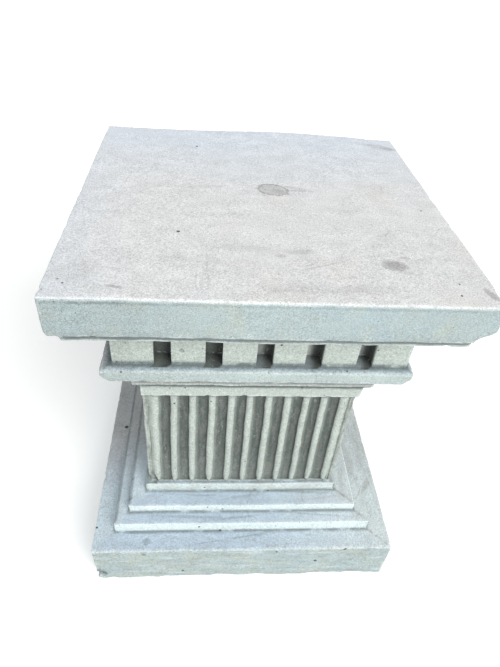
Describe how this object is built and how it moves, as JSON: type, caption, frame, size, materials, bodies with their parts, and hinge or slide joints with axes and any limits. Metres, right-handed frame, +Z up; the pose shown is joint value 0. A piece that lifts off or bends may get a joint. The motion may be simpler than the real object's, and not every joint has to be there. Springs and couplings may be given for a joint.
{
  "type": "stone pedestal column",
  "caption": "Square cast-cement pedestal: flat top slab over a dentil course, reeded square shaft, stepped plinth. Holds a statue, urn, planter or table top.",
  "frame": {"origin": "centre of the underside, on the ground", "axes": "+Z up through the middle of the slab; the front faces -Y, and all four faces are alike"},
  "size_m": [0.4, 0.4, 0.484],
  "materials": {
    "cast_cement": "matte"
  },
  "bodies": {
    "root": {"pedestal": "cast_cement"}
  },
  "joints": []
}
